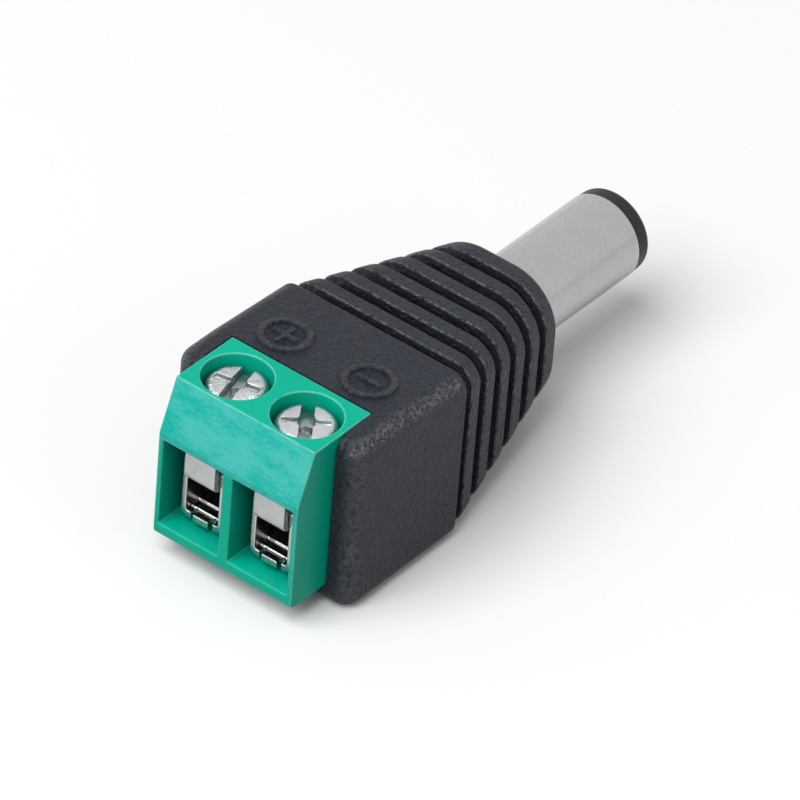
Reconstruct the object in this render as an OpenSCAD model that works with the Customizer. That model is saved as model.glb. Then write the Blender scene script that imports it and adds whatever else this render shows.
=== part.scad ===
// Straight plug with a two-pole screw clamp: a round two-contact barrel in front, a ribbed
// moulded body, and a clamp block with two rising cages behind.
// Millimetres. Origin on the barrel's axis at the body's nose face. +X runs to the barrel's
// tip, +Z is up (the screws' side), +Y is the positive pole's side.

/* [Barrel] */
// Outside diameter of the metal barrel
barrel_d = 5.5; // [5.2:0.1:6]
// Diameter of the centre socket
socket_d = 2.1; // [1.9:0.1:2.2]
// Length of the barrel from the nose face to the end of the tip
barrel_len = 11; // [9.5:0.5:13]
// Length of the insulating tip
tip_len = 1.1; // [0.9:0.1:1.6]
// Wall of the metal barrel
barrel_wall = 0.4; // [0.3:0.05:0.5]
// Wall of the centre socket
socket_wall = 0.53; // [0.4:0.05:0.6]
// Depth of the centre socket's bore
socket_depth = 9.5; // [8:0.5:9.5]

/* [Body] */
// Length of the moulded body
body_len = 21.3; // [20.5:0.1:23]
// Width of the body's square part
body_w = 13.4; // [12.6:0.2:15]
// Height of the body's square part above the barrel's axis
body_up = 5.8; // [5.8:0.1:6.4]
// Height of the body's square part below the barrel's axis
body_down = 6.1; // [5.9:0.1:7]
// Length of the body's square part
square_len = 9.7; // [9.3:0.1:10.2]
// Fall of the top face from the clamp block to the first groove
top_fall = 0.35; // [0:0.05:0.5]
// Width of the nose face
nose_w = 8.8; // [8.4:0.1:9.6]
// Height of the nose above the axis
nose_up = 4.15; // [4.1:0.05:4.6]
// Height of the nose below the axis
nose_down = 4.5; // [4.2:0.1:5]
// Radius of the square part's edges
corner_r = 1.1; // [0.8:0.1:1.4]
// Corner radius of the nose
nose_corner_r = 3.3; // [2.6:0.1:3.6]
// Radius round the nose face's rim
nose_rim_r = 0.45; // [0.2:0.05:0.7]
// Number of ribs between the square part and the nose
rib_count = 5; // [4:1:6]
// Width of a groove
groove_w = 0.8; // [0.6:0.05:0.9]
// Depth of a groove
groove_deep = 0.8; // [0.5:0.05:0.9]
// Slant taken off the edges of the ribs
rib_slant = 0.12; // [0.05:0.01:0.2]

/* [Pole signs] */
// Distance from the clamp block's rear seam to the signs' centre
sign_back = 2.25; // [2.1:0.05:2.5]
// Distance of each sign from the middle
sign_side = 3.02; // [2.6:0.05:3.3]
// Radius of the sign ring's centre line
sign_ring_r = 1.31; // [1.1:0.05:1.4]
// Radius of the ring's own section
sign_bead_r = 0.28; // [0.2:0.02:0.3]
// Height of the signs above the top face
sign_proud = 0.22; // [0.12:0.02:0.26]
// Length of a sign's bar
sign_bar = 1.4; // [1:0.1:1.6]

/* [Clamp block] */
// Distance between the two poles
pole_pitch = 5; // [4.9:0.02:5.08]
// Thickness of the block's outer walls beside the windows
side_wall = 0.35; // [0.3:0.05:0.5]
// Depth of the block's foot below the barrel's axis
block_down = 4.7; // [4.5:0.1:5]
// Depth of the block's visible part at its foot
block_depth = 6.17; // [6:0.05:6.6]
// Depth of the block's top face
block_top_depth = 4.93; // [4.75:0.02:5.1]
// Height of the sloping face under the top face
slope_drop = 3.27; // [3:0.05:3.5]
// Depth of the tongue inside the body
tongue_len = 1.6; // [1.4:0.1:1.8]
// Gap round a screw's head in its well
well_gap = 0.275; // [0.2:0.025:0.35]
// Depth of a screw head's crown below the top face
head_sunk = 0.4; // [0.2:0.05:0.6]
// Distance from the block's rear seam back to the screws
screw_back = 2.6; // [2.5:0.02:2.64]
// Width of a wire window
window_w = 4.3; // [4.1:0.05:4.4]
// Height of a window's top above the barrel's axis
window_rise = 2.08; // [1.9:0.02:2.2]
// Thickness of the floor under the windows
floor_t = 0.9; // [0.8:0.05:1]
// Radius of the block's front foot edge
foot_r = 0.4; // [0.3:0.1:1]

/* [Clamps] */
// Screw thread's outside diameter
screw_d = 2.5; // [2.3:0.1:2.6]
// Screw head's diameter
head_d = 3.6; // [3.4:0.05:3.7]
// Height of the screw head
head_h = 1.4; // [1.2:0.05:1.5]
// Width of the driver slot
slot_w = 0.72; // [0.5:0.02:0.8]
// Depth of the driver slot
slot_deep = 0.75; // [0.5:0.05:0.9]
// Width of the short arms across the driver slot
arm_w = 0.48; // [0.4:0.02:0.6]
// Length of the short arms, from end to end
arm_len = 2.7; // [2.2:0.1:2.8]
// Stock of the cage's side walls beside the screw's thread
cage_side = 0.25; // [0.2:0.01:0.3]
// Thickness of the cage's sheet
cage_t = 0.35; // [0.3:0.05:0.4]
// Thickness of the cage's threaded top wall
cage_top_t = 0.7; // [0.6:0.05:0.75]
// Thickness of the cage's floor, where its two ends overlap
cage_floor_t = 0.45; // [0.4:0.05:0.5]
// Length of a cage along the barrel's axis
cage_len = 4.85; // [4.7:0.05:4.9]
// Outer radius of the cage's folds under the wire
fold_r = 0.5; // [0.45:0.05:0.6]
// Height left between the cage's floor and the strip when the clamp is shut
least_wire = 0.45; // [0.3:0.05:0.7]
// Thickness of a contact strip
strip_t = 0.5; // [0.4:0.05:0.5]
// Thickness of the strip's upturned lip
lip_t = 0.4; // [0.3:0.05:0.4]
// Inner radius of the bend to the lip
bend_r = 0.2; // [0.1:0.05:0.3]
// Turn of the positive pole's driver slot
slot_turn_plus = 13; // [0:1:180]
// Turn of the negative pole's driver slot
slot_turn_minus = 36; // [0:1:180]

/* [Fits] */
// Gap round a seat that is pressed or moulded on a round part
seat_gap = 0.02; // [0.01:0.01:0.04]
// Radial running gap round a screw's thread in its cage
thread_gap = 0.04; // [0.02:0.01:0.08]
// Gap between a sliding cage and its guide
guide_gap = 0.06; // [0.03:0.01:0.1]
// Radial gap round a screw's shank in the block
shank_gap = 0.07; // [0.04:0.01:0.1]
// Gap between a contact strip and the cage's side walls
strip_gap = 0.05; // [0.03:0.01:0.1]
// Gap under a wide open cage
drop_gap = 0.4; // [0.2:0.05:0.5]

/* [Hidden] */
$fn = 64;
e = 0.01;

// body stations along the axis
front_x = -body_len;                       // cheeks' front face
rim_x = front_x + square_len;              // rear... first groove's start
nose_x = -1.47;                            // start of the nose after the last groove
rib_pitch = (nose_x - groove_w - rim_x) / rib_count;
seam_x = front_x + 3.1;                    // block's rear seam on the top face
// the block, measured from the axis
top_z = body_up;
foot_z = -block_down;
block_w = pole_pitch + window_w + 2 * side_wall;
face_x = seam_x - block_depth;
brow_x = seam_x - block_top_depth;
screw_x = seam_x - screw_back;
pole_y = pole_pitch / 2;
window_top = window_rise;
window_foot = foot_z + floor_t;
well_d = head_d + 2 * well_gap;
well_deep = head_h + head_sunk;
ledge_z = top_z - well_deep;               // the screw head's seat
// the clamp: the strip's top face lies on the barrel's axis plane
cage_w = screw_d + 2 * cage_side;
strip_w = cage_w - 2 * (cage_t + strip_gap);
cage_x = screw_x - cage_len / 2;
cage_top = 0.1 + cage_top_t;               // cage's top at rest, wide open
cage_foot = window_foot + drop_gap;
cage_travel = -strip_t - least_wire - cage_foot - cage_floor_t;
seam_tab = 1.1;                            // the hooked tab under the wire, and the slits beside it
seam_slit = 0.22;
knuckle_w = 0.62;
guide_x = screw_x - 0.8;                   // guide pocket's mouth
guide_end = screw_x + cage_len / 2 + 0.3;
guide_top = cage_top + cage_travel + 0.2;
lip_x = cage_x - 0.45;
lip_top = 1.95;
tail_y = pole_y + 0.4;                     // the strips' narrow tails, in the moulding
tail_w = 1.2;
tongue_x = seam_x + tongue_len;
tongue_in = 0.7;                           // step in from the block's sides and foot to the tongue
tongue_w = block_w - 2 * tongue_in;
tongue_top = ledge_z - 0.4;
jog_x = tongue_x + 2;                      // the positive strip's jog to the middle
strip_end = tongue_x + 3.7;
// the barrel's stack
barrel_r = barrel_d / 2;
bore_r = barrel_r - barrel_wall;
socket_r = socket_d / 2;
pin_r = socket_r + socket_wall;
metal_len = barrel_len - tip_len;
root_r = barrel_r + 0.2;                   // the sleeve's thicker root, held in the moulding
root_end = -0.15;
flange_r = barrel_r + 0.75;
flange_x = -5.5;
flange_t = 0.8;
stack_x = flange_x - flange_t;             // back of the flange, where the lug lies
lug_t = 0.4;
lug_leg_w = 1;
washer_t = 0.8;
washer_r = 2.2;
collar_r = 1.95;
neck_r = 1;
washer_x = stack_x - lug_t - washer_t;     // back of the washer
stake_t = 0.4;
stake_r = (washer_r + neck_r) / 2;
tab_w = 1.4;
tab_t = 0.5;
tab_x = washer_x - stake_t - 1;
tab_end = tongue_x + 3;                    // the tab and the leg lap the strips' tails
leg_end = tongue_x + 2.7;
solder_r = 0.75;
mouth_x = barrel_len - 1;                  // the centre socket's mouth

// Sizes of the tapering body at a station x, from the first groove to the nose face
function part_way(x) = (x - rim_x) / (0 - rim_x);
function half_w(x) = (body_w / 2 - 0.1) + part_way(x) * (nose_w / 2 - body_w / 2 + 0.1);
function up(x) = (body_up - top_fall - 0.15) + part_way(x) * (nose_up - body_up + top_fall + 0.15);
function down(x) = body_down + part_way(x) * (nose_down - body_down);
function round_r(x) = corner_r + part_way(x) * (nose_corner_r - corner_r);

// A thin rounded section across the axis at x, drawn in by c
module section(x, w, u, d, r, c = 0, t = e) {
    rr = max(r - c, 0.3);
    for (sy = [-1, 1], z = [u - c - rr, -(d - c - rr)])
        translate([x, sy * (w - c - rr), z]) rotate([0, 90, 0]) cylinder(h = t, r = rr, $fn = 32);
}

// A straight rounded bar across the axis from x0 to x1, with true round corners
module round_bar(x0, x1, w, u, d, r) {
    translate([x0, -w, -d + r]) cube([x1 - x0, 2 * w, u + d - 2 * r]);
    translate([x0, -w + r, -d]) cube([x1 - x0, 2 * (w - r), u + d]);
    for (sy = [-1, 1], z = [u - r, -(d - r)])
        translate([x0, sy * (w - r), z]) rotate([0, 90, 0]) cylinder(h = x1 - x0, r = r);
}

// One rib: a tapering segment of the body with its front and rear edges slanted off
module rib(x0, x1) {
    c = rib_slant;
    hull() for (s = [[x0, c], [x0 + c, 0], [x1 - c - e, 0], [x1 - e, c]])
        section(s[0], half_w(s[0]), up(s[0]), down(s[0]), round_r(s[0]), s[1]);
}

// The nose: a tapering segment with its front rim drawn in
module nose() {
    x1 = nose_x + rib_slant;
    hull() {
        section(nose_x, half_w(nose_x), up(nose_x), down(nose_x), round_r(nose_x), rib_slant);
        section(x1, half_w(x1), up(x1), down(x1), round_r(x1));
        section(-nose_rim_r - e, half_w(0), up(0), down(0), round_r(0));
        section(-nose_rim_r * 0.3 - e, half_w(0), up(0), down(0), round_r(0), nose_rim_r * 0.3);
        section(-e, half_w(0), up(0), down(0), round_r(0), nose_rim_r);
    }
}

// The square part: a round-edged block, open square at its rear, with a falling top
module square_part() {
    w = body_w / 2;
    r = corner_r;
    u = body_up;
    d = body_down;
    difference() {
        union() {
            translate([front_x + r, -w, -d + r]) cube([square_len - r, 2 * w, u + d - 2 * r]);
            translate([front_x + r, -w + r, -d]) cube([square_len - r, 2 * (w - r), u + d]);
            translate([front_x, -w + r, -d + r]) cube([square_len, 2 * (w - r), u + d - 2 * r]);
            for (sy = [-1, 1], z = [u - r, -(d - r)]) translate([front_x + r, sy * (w - r), z]) {
                rotate([0, 90, 0]) cylinder(h = square_len - r, r = r);
                sphere(r = r);
            }
            for (sy = [-1, 1]) translate([front_x + r, sy * (w - r), -d + r])
                cylinder(h = u + d - 2 * r, r = r);
            for (z = [u - r, -(d - r)]) translate([front_x + r, -w + r, z])
                rotate([-90, 0, 0]) cylinder(h = 2 * (w - r), r = r);
        }
        if (top_fall > 0) rotate([90, 0, 0]) linear_extrude(height = body_w + 2, center = true)
            polygon([[seam_x, u], [rim_x + 1, u - top_fall * (rim_x + 1 - seam_x) / (rim_x - seam_x)],
                     [rim_x + 1, u + 1], [seam_x, u + 1]]);
    }
}

// A raised pole sign: a ring with one bar, or with two crossed bars
module sign(y, crossed) {
    z = body_up - top_fall * sign_back / (rim_x - seam_x) + sign_proud - sign_bead_r;
    translate([seam_x + sign_back, y, z]) {
        rotate_extrude() translate([sign_ring_r, 0]) circle(r = sign_bead_r);
        for (turn = crossed ? [0, 90] : [90]) rotate([0, 0, turn]) {
            translate([-sign_bar / 2, 0, 0]) rotate([0, 90, 0]) cylinder(h = sign_bar, r = sign_bead_r * 0.9);
            for (sx = [-1, 1]) translate([sx * sign_bar / 2, 0, 0]) sphere(r = sign_bead_r * 0.9);
        }
    }
}

// The space the block fills in the body, open to the top and the front
module block_room() {
    translate([front_x - 1, -block_w / 2, foot_z]) cube([seam_x - front_x + 1, block_w, top_z - foot_z + 1]);
    tongue();
}

// The block's tongue behind the seam
module tongue() {
    translate([seam_x - e, -tongue_w / 2, foot_z + tongue_in])
        cube([tongue_len + e, tongue_w, tongue_top - foot_z - tongue_in]);
}

// The space the metal parts fill inside the moulding
module metal_room() {
    g = seat_gap;
    translate([root_end - e, 0, 0]) rotate([0, 90, 0]) cylinder(h = 1, r = barrel_r + g);
    translate([flange_x - e, 0, 0]) rotate([0, 90, 0]) cylinder(h = root_end - flange_x + e, r = root_r + g);
    translate([stack_x - lug_t, 0, 0]) rotate([0, 90, 0])
        cylinder(h = flange_t + lug_t, r = flange_r + g);
    translate([washer_x, 0, 0]) rotate([0, 90, 0]) cylinder(h = washer_t + e, r = washer_r + g);
    translate([washer_x - stake_t, 0, 0]) rotate([0, 90, 0]) cylinder(h = stake_t + e, r = stake_r + g);
    translate([tab_x, 0, 0]) rotate([0, 90, 0]) cylinder(h = washer_x - tab_x, r = neck_r + g);
    centre_tab();
    lug_leg();
    for (s = [-1, 1]) strip_tail(s);
    jog();
    solder_bead(tab_end, 0);
    solder_bead(leg_end, -tail_y);
}

// Parts shared by a piece and the room it needs
module centre_tab() {
    translate([tab_end, -tab_w / 2, 0]) cube([tab_x - tab_end + e, tab_w, tab_t]);
}
module lug_leg() {
    translate([leg_end, -tail_y - lug_leg_w / 2, 0]) cube([stack_x - lug_t - leg_end + e, lug_leg_w, lug_t]);
}
module strip_tail(s) {
    translate([tongue_x - e, s * tail_y - tail_w / 2, -strip_t])
        cube([strip_end - tongue_x + e, tail_w, strip_t]);
}
module jog() {
    translate([jog_x, -0.7, -strip_t]) cube([strip_end - jog_x, tail_y + 0.7, strip_t]);
}
module solder_bead(x, y) {
    intersection() {
        translate([x, y, 0.12]) sphere(r = solder_r);
        translate([x - 1, y - 1, 0]) cube([2, 2, 2]);
    }
}

// The moulded body with its grooves, signs and the rooms for what it is moulded round
module housing() {
    color([0.09, 0.095, 0.11]) difference() {
        union() {
            square_part();
            for (k = [0:rib_count - 1]) {
                x0 = rim_x + k * rib_pitch + groove_w;
                rib(x0, rim_x + (k + 1) * rib_pitch);
            }
            nose();
            for (k = [0:rib_count]) {
                x0 = rim_x + k * rib_pitch;
                xm = x0 + groove_w;
                round_bar(x0 - 0.3, x0 + groove_w + 0.3, half_w(xm) - groove_deep,
                          up(xm) - groove_deep, down(xm) - groove_deep, round_r(xm) - 0.3);
            }
            sign(sign_side, true);
            sign(-sign_side, false);
        }
        block_room();
        metal_room();
    }
}

// One pole's hollow in the block: screw well, window, guide pocket and slot for the strip
module pole_room(y) {
    translate([screw_x, y, ledge_z]) cylinder(h = well_deep + 1, r = well_d / 2);
    translate([screw_x, y, 0]) cylinder(h = top_z, r = screw_d / 2 + shank_gap);
    translate([face_x - 1, y - window_w / 2, window_foot])
        cube([guide_x - face_x + 1, window_w, window_top - window_foot]);
    gw = cage_w / 2 + guide_gap;
    translate([cage_x - 0.08, y - gw, window_foot])
        cube([guide_end - cage_x + 0.08, 2 * gw, guide_top - window_foot]);
    translate([guide_x, y - strip_w / 2, -strip_t]) cube([seam_x - guide_x, strip_w, strip_t]);
}

// The clamp block: sloping brow, round foot, two poles
module terminal_block() {
    color([0.0, 0.62, 0.5]) difference() {
        union() {
            rotate([90, 0, 0]) linear_extrude(height = block_w, center = true) polygon([
                [seam_x, foot_z], [face_x, foot_z], [face_x, top_z - slope_drop],
                [brow_x, top_z], [seam_x, top_z]]);
            tongue();
        }
        // round foot edge
        difference() {
            translate([face_x - 1, -block_w, foot_z - 1]) cube([foot_r + 1, 2 * block_w, foot_r + 1]);
            translate([face_x + foot_r, 0, foot_z + foot_r]) rotate([90, 0, 0])
                cylinder(h = 3 * block_w, r = foot_r, center = true);
        }
        for (s = [-1, 1]) {
            pole_room(s * pole_y);
            translate([seam_x - 1, s * pole_y - strip_w / 2, -strip_t]) cube([1, strip_w, strip_t]);
            translate([seam_x - e, s * tail_y - tail_w / 2, -strip_t])
                cube([tongue_len + 1, tail_w, strip_t]);
        }
    }
}

// The cage's outside, or with its sheet taken off all round its inside, with round folds at its foot
module cage_bar(x0, len, inside) {
    w = cage_w / 2 - (inside ? cage_t : 0);
    top = cage_top - (inside ? cage_top_t : 0);
    low = cage_foot + (inside ? cage_floor_t : 0);
    r = fold_r - (inside ? cage_t : 0);
    translate([x0, -w, low + r]) cube([len, 2 * w, top - low - r]);
    translate([x0, -w + r, low]) cube([len, 2 * (w - r), top - low]);
    for (sy = [-1, 1]) translate([x0, sy * (w - r), low + r]) rotate([0, 90, 0]) cylinder(h = len, r = r);
}

// A rising clamp cage folded from one strip: its ends meet under the wire in a hooked seam of
// one tab between two knuckles, and two ridges across the floor grip the wire
module cage(y) {
    color([0.78, 0.79, 0.8]) translate([0, y, 0]) difference() {
        union() {
            difference() {
                cage_bar(cage_x, cage_len, false);
                cage_bar(cage_x - 1, cage_len + 2, true);
            }
            // the seam's tab, hooked down over the front edge
            translate([cage_x - 0.12, -seam_tab / 2, cage_foot]) cube([0.5, seam_tab, cage_floor_t + 0.04]);
            for (dx = [0.6, 1.3]) intersection() {
                translate([cage_x + dx, 0, cage_foot + cage_floor_t]) rotate([90, 0, 0])
                    cylinder(h = 2.2, r = 0.16, center = true);
                translate([cage_x, -2, cage_foot + 0.1]) cube([3, 4, 1]);
            }
        }
        // the thread's hole, which also bites into the side walls as far down as the screw reaches
        translate([screw_x, 0, -cage_travel - 0.1])
            cylinder(h = cage_travel + cage_top + 1, r = screw_d / 2 + thread_gap);
        // the two slits beside the tab, and the notches under the knuckles
        for (sy = [-1, 1]) translate([cage_x, sy * (seam_tab + seam_slit) / 2, cage_foot]) {
            translate([-0.5, -seam_slit / 2, -1]) cube([1, seam_slit, cage_floor_t + 1.2]);
            translate([-0.5, sy > 0 ? 0 : -knuckle_w, -1]) cube([0.7, knuckle_w, 1.12]);
        }
    }
}
module cage_plus() { cage(pole_y); }
module cage_minus() { cage(-pole_y); }

// A clamp screw: domed head with a driver slot and shorter cross arms, plain shank
module screw(y, turn) {
    dome = head_h - 0.5;
    dome_r = (head_d * head_d / 4 + dome * dome) / (2 * dome);
    tip_z = 0.02;
    color([0.8, 0.81, 0.82]) translate([screw_x, y, 0]) difference() {
        union() {
            intersection() {
                translate([0, 0, ledge_z]) cylinder(h = head_h, r = head_d / 2);
                translate([0, 0, ledge_z + head_h - dome_r]) sphere(r = dome_r);
            }
            translate([0, 0, tip_z + 0.3]) cylinder(h = ledge_z - tip_z - 0.3 + e, r = screw_d / 2);
            translate([0, 0, tip_z]) cylinder(h = 0.3 + e, r1 = screw_d / 2 - 0.3, r2 = screw_d / 2);
        }
        rotate([0, 0, turn]) {
            translate([-head_d, -slot_w / 2, ledge_z + head_h - slot_deep])
                cube([2 * head_d, slot_w, slot_deep + 1]);
            translate([-arm_w / 2, -arm_len / 2, ledge_z + head_h - slot_deep - 0.1])
                cube([arm_w, arm_len, slot_deep + 1]);
            translate([0, 0, ledge_z + head_h - slot_deep - 0.35])
                cylinder(h = slot_deep + 0.4, r1 = 0.3, r2 = 0.62);
        }
    }
}
module screw_plus() { screw(pole_y, slot_turn_plus); }
module screw_minus() { screw(-pole_y, slot_turn_minus); }

// A fixed contact strip: upturned lip in the window, straight through the cage, tail behind
module strip(s) {
    r = bend_r + lip_t;
    translate([lip_x, s * pole_y, -strip_t]) {
        translate([r, -strip_w / 2, 0]) cube([seam_x - lip_x - r, strip_w, strip_t]);
        translate([0, -strip_w / 2, r]) cube([lip_t, strip_w, lip_top + strip_t - r]);
        // the bend: a round outside, and a round inside where lip and strip meet
        difference() {
            intersection() {
                translate([r, 0, r]) rotate([90, 0, 0]) cylinder(h = strip_w, r = r, center = true);
                translate([0, -strip_w, 0]) cube([r + e, 2 * strip_w, r + e]);
            }
            translate([lip_t + bend_r, 0, strip_t + bend_r]) rotate([90, 0, 0])
                cylinder(h = strip_w + 1, r = bend_r, center = true);
            translate([lip_t + bend_r, -strip_w, strip_t]) cube([r, 2 * strip_w, r]);
            translate([lip_t, -strip_w, strip_t + bend_r]) cube([r, 2 * strip_w, r]);
        }
    }
    translate([seam_x - e, s * tail_y - tail_w / 2, -strip_t]) cube([tongue_len + e, tail_w, strip_t]);
    strip_tail(s);
}
module contact_plus() {
    color([0.82, 0.78, 0.68]) union() { strip(1); jog(); }
}
module contact_minus() {
    color([0.82, 0.78, 0.68]) strip(-1);
}

// The barrel's outer sleeve with the flange that anchors it in the moulding
module sleeve() {
    color([0.72, 0.71, 0.69]) difference() {
        union() {
            translate([root_end - e, 0, 0]) rotate([0, 90, 0])
                cylinder(h = metal_len - root_end + e, r = barrel_r);
            translate([flange_x - e, 0, 0]) rotate([0, 90, 0])
                cylinder(h = root_end - flange_x + e, r = root_r);
            translate([stack_x, 0, 0]) rotate([0, 90, 0]) cylinder(h = flange_t, r = flange_r);
        }
        translate([stack_x - 1, 0, 0]) rotate([0, 90, 0]) cylinder(h = metal_len - stack_x + 2, r = bore_r);
    }
}

// The insulating liner with the round-edged tip in front of the sleeve
module tip_insulator() {
    tr = barrel_r - 0.05;
    er = 0.35;
    color([0.08, 0.085, 0.1]) difference() {
        union() {
            translate([stack_x, 0, 0]) rotate([0, 90, 0])
                cylinder(h = metal_len - stack_x + e, r = bore_r - seat_gap);
            translate([metal_len, 0, 0]) rotate([0, 90, 0]) cylinder(h = tip_len - er, r = tr);
            translate([barrel_len - er - e, 0, 0]) rotate([0, 90, 0]) cylinder(h = er + e, r = tr - er);
            translate([barrel_len - er, 0, 0]) rotate([0, 90, 0])
                rotate_extrude() translate([tr - er, 0]) circle(r = er);
        }
        translate([stack_x - 1, 0, 0]) rotate([0, 90, 0])
            cylinder(h = mouth_x - stack_x + 1, r = pin_r + seat_gap);
        translate([mouth_x - e, 0, 0]) rotate([0, 90, 0]) cylinder(h = 2, r = socket_r + 0.15);
        translate([barrel_len - 0.45, 0, 0]) rotate([0, 90, 0])
            cylinder(h = 0.45 + e, r1 = socket_r + 0.15, r2 = socket_r + 0.6);
    }
}

// The centre socket, staked behind the washer, with a flat solder tab
module centre_contact() {
    color([0.8, 0.76, 0.62]) difference() {
        union() {
            translate([stack_x, 0, 0]) rotate([0, 90, 0]) cylinder(h = mouth_x - stack_x, r = pin_r);
            translate([washer_x - e, 0, 0]) rotate([0, 90, 0])
                cylinder(h = stack_x - washer_x + 2 * e, r = neck_r);
            translate([washer_x - stake_t, 0, 0]) rotate([0, 90, 0]) cylinder(h = stake_t, r = stake_r);
            translate([tab_x, 0, 0]) rotate([0, 90, 0]) cylinder(h = washer_x - tab_x, r = neck_r);
            centre_tab();
        }
        translate([mouth_x - socket_depth, 0, 0]) rotate([0, 90, 0])
            cylinder(h = socket_depth + 1, r = socket_r);
        translate([mouth_x - 0.25, 0, 0]) rotate([0, 90, 0])
            cylinder(h = 0.25 + e, r1 = socket_r, r2 = socket_r + 0.25);
    }
}

// The washer that keeps the centre socket off the lug, with a collar inside it
module rear_insulator() {
    color([0.85, 0.84, 0.78]) difference() {
        union() {
            translate([washer_x, 0, 0]) rotate([0, 90, 0]) cylinder(h = washer_t, r = washer_r);
            translate([washer_x + washer_t - e, 0, 0]) rotate([0, 90, 0])
                cylinder(h = lug_t + e, r = collar_r - seat_gap);
        }
        translate([washer_x - 1, 0, 0]) rotate([0, 90, 0])
            cylinder(h = washer_t + lug_t + 2, r = neck_r + seat_gap);
    }
}

// The ring that lies on the sleeve's flange, with one leg bent back to the negative strip
module sleeve_lug() {
    color([0.8, 0.76, 0.62]) union() {
        difference() {
            translate([stack_x - lug_t, 0, 0]) rotate([0, 90, 0]) cylinder(h = lug_t, r = flange_r);
            translate([stack_x - lug_t - 1, 0, 0]) rotate([0, 90, 0]) cylinder(h = lug_t + 2, r = collar_r);
        }
        lug_leg();
    }
}

// Solder beads where the tab and the leg lie on the strips
module solder_plus() {
    color([0.7, 0.71, 0.72]) difference() { solder_bead(tab_end, 0); centre_tab(); }
}
module solder_minus() {
    color([0.7, 0.71, 0.72]) difference() { solder_bead(leg_end, -tail_y); lug_leg(); }
}

housing();
terminal_block();
cage_plus();
cage_minus();
screw_plus();
screw_minus();
contact_plus();
contact_minus();
sleeve();
tip_insulator();
centre_contact();
rear_insulator();
sleeve_lug();
solder_plus();
solder_minus();
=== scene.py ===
"""Looks of a straight barrel plug with a ribbed moulded body and a two-pole screw clamp.

Every piece is worked out in millimetres in the row's own frame: the origin is on the barrel's
axis at the body's nose face, +X runs to the barrel's tip and +Z is up, on the screws' side.
"""

import logging
import math
from collections.abc import Callable, Sequence
from dataclasses import dataclass, field
from enum import Enum

import bmesh
import bpy
import numpy as np
from mathutils import Matrix


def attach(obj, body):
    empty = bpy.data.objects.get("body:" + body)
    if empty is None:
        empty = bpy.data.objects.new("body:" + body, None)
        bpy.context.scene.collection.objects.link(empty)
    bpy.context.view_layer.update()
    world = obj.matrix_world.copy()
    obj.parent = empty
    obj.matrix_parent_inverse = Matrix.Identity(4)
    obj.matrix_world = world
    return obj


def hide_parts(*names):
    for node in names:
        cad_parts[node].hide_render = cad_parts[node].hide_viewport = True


MM = 0.001
SAME_PLACE = 2e-7
SLIVER = 1e-7
SOFTEN_MERGE = 0.012
SOFTEN_FLAT = 0.5
Piece = bpy.types.Object
Material = bpy.types.Material
Node = bpy.types.Node
Socket = bpy.types.NodeSocket
Tree = bpy.types.NodeTree
Colour = tuple[float, float, float]
Point = tuple[float, float, float]
log = logging.getLogger("plug")
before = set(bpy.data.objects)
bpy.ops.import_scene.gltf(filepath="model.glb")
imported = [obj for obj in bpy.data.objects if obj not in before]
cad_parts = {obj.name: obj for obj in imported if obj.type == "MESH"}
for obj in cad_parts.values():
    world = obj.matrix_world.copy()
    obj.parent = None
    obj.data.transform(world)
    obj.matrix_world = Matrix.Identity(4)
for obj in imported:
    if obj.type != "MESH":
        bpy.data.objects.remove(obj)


# ---------------------------------------------------------------- meshes


def new_piece(name: str, points: np.ndarray, faces: Sequence[Sequence[int]],
              merge: bool = True) -> Piece:
    """Makes a mesh object from points in millimetres, turned outwards.

    Args:
        name: The piece's name.
        points: An (n, 3) array of places in millimetres.
        faces: The corner numbers of each face.
        merge: Whether points in one place become one; otherwise all points keep their order.

    Returns:
        The linked object, at the origin, with its place in its mesh.
    """
    mesh = bpy.data.meshes.new(name)
    mesh.from_pydata((points * MM).tolist(), [], [list(f) for f in faces])
    body = bmesh.new()
    body.from_mesh(mesh)
    if merge:
        bmesh.ops.remove_doubles(body, verts=body.verts, dist=SAME_PLACE)
        bmesh.ops.dissolve_degenerate(body, dist=SLIVER, edges=body.edges)
    bmesh.ops.recalc_face_normals(body, faces=body.faces)
    body.to_mesh(mesh)
    body.free()
    piece = bpy.data.objects.new(name, mesh)
    bpy.context.scene.collection.objects.link(piece)
    return piece


def skin(count: int, size: int, caps: bool = True, start: int = 0) -> list[list[int]]:
    """Faces over a row of closed rings: face (i, j) spans rings i, i+1 and points j, j+1.

    Args:
        count: How many rings there are.
        size: How many points a ring has; the last joins the first.
        caps: Whether the first and last ring are closed with one face each.
        start: The number of the first ring's first point.

    Returns:
        The corner numbers of each face.
    """
    i, j = np.meshgrid(np.arange(count - 1), np.arange(size), indexing="ij")
    k = (j + 1) % size
    quads = np.stack([i * size + j, i * size + k, (i + 1) * size + k, (i + 1) * size + j], -1)
    faces = (quads.reshape(-1, 4) + start).tolist()
    if caps:
        last = start + (count - 1) * size
        faces += [list(range(start, start + size)), list(range(last, last + size))]
    return faces


def loft(name: str, rings: np.ndarray, caps: bool = True) -> Piece:
    """Makes a piece from a row of closed rings, an (r, n, 3) array, its ends closed or joined."""
    return new_piece(name, rings.reshape(-1, 3), skin(*rings.shape[:2], caps))


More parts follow.
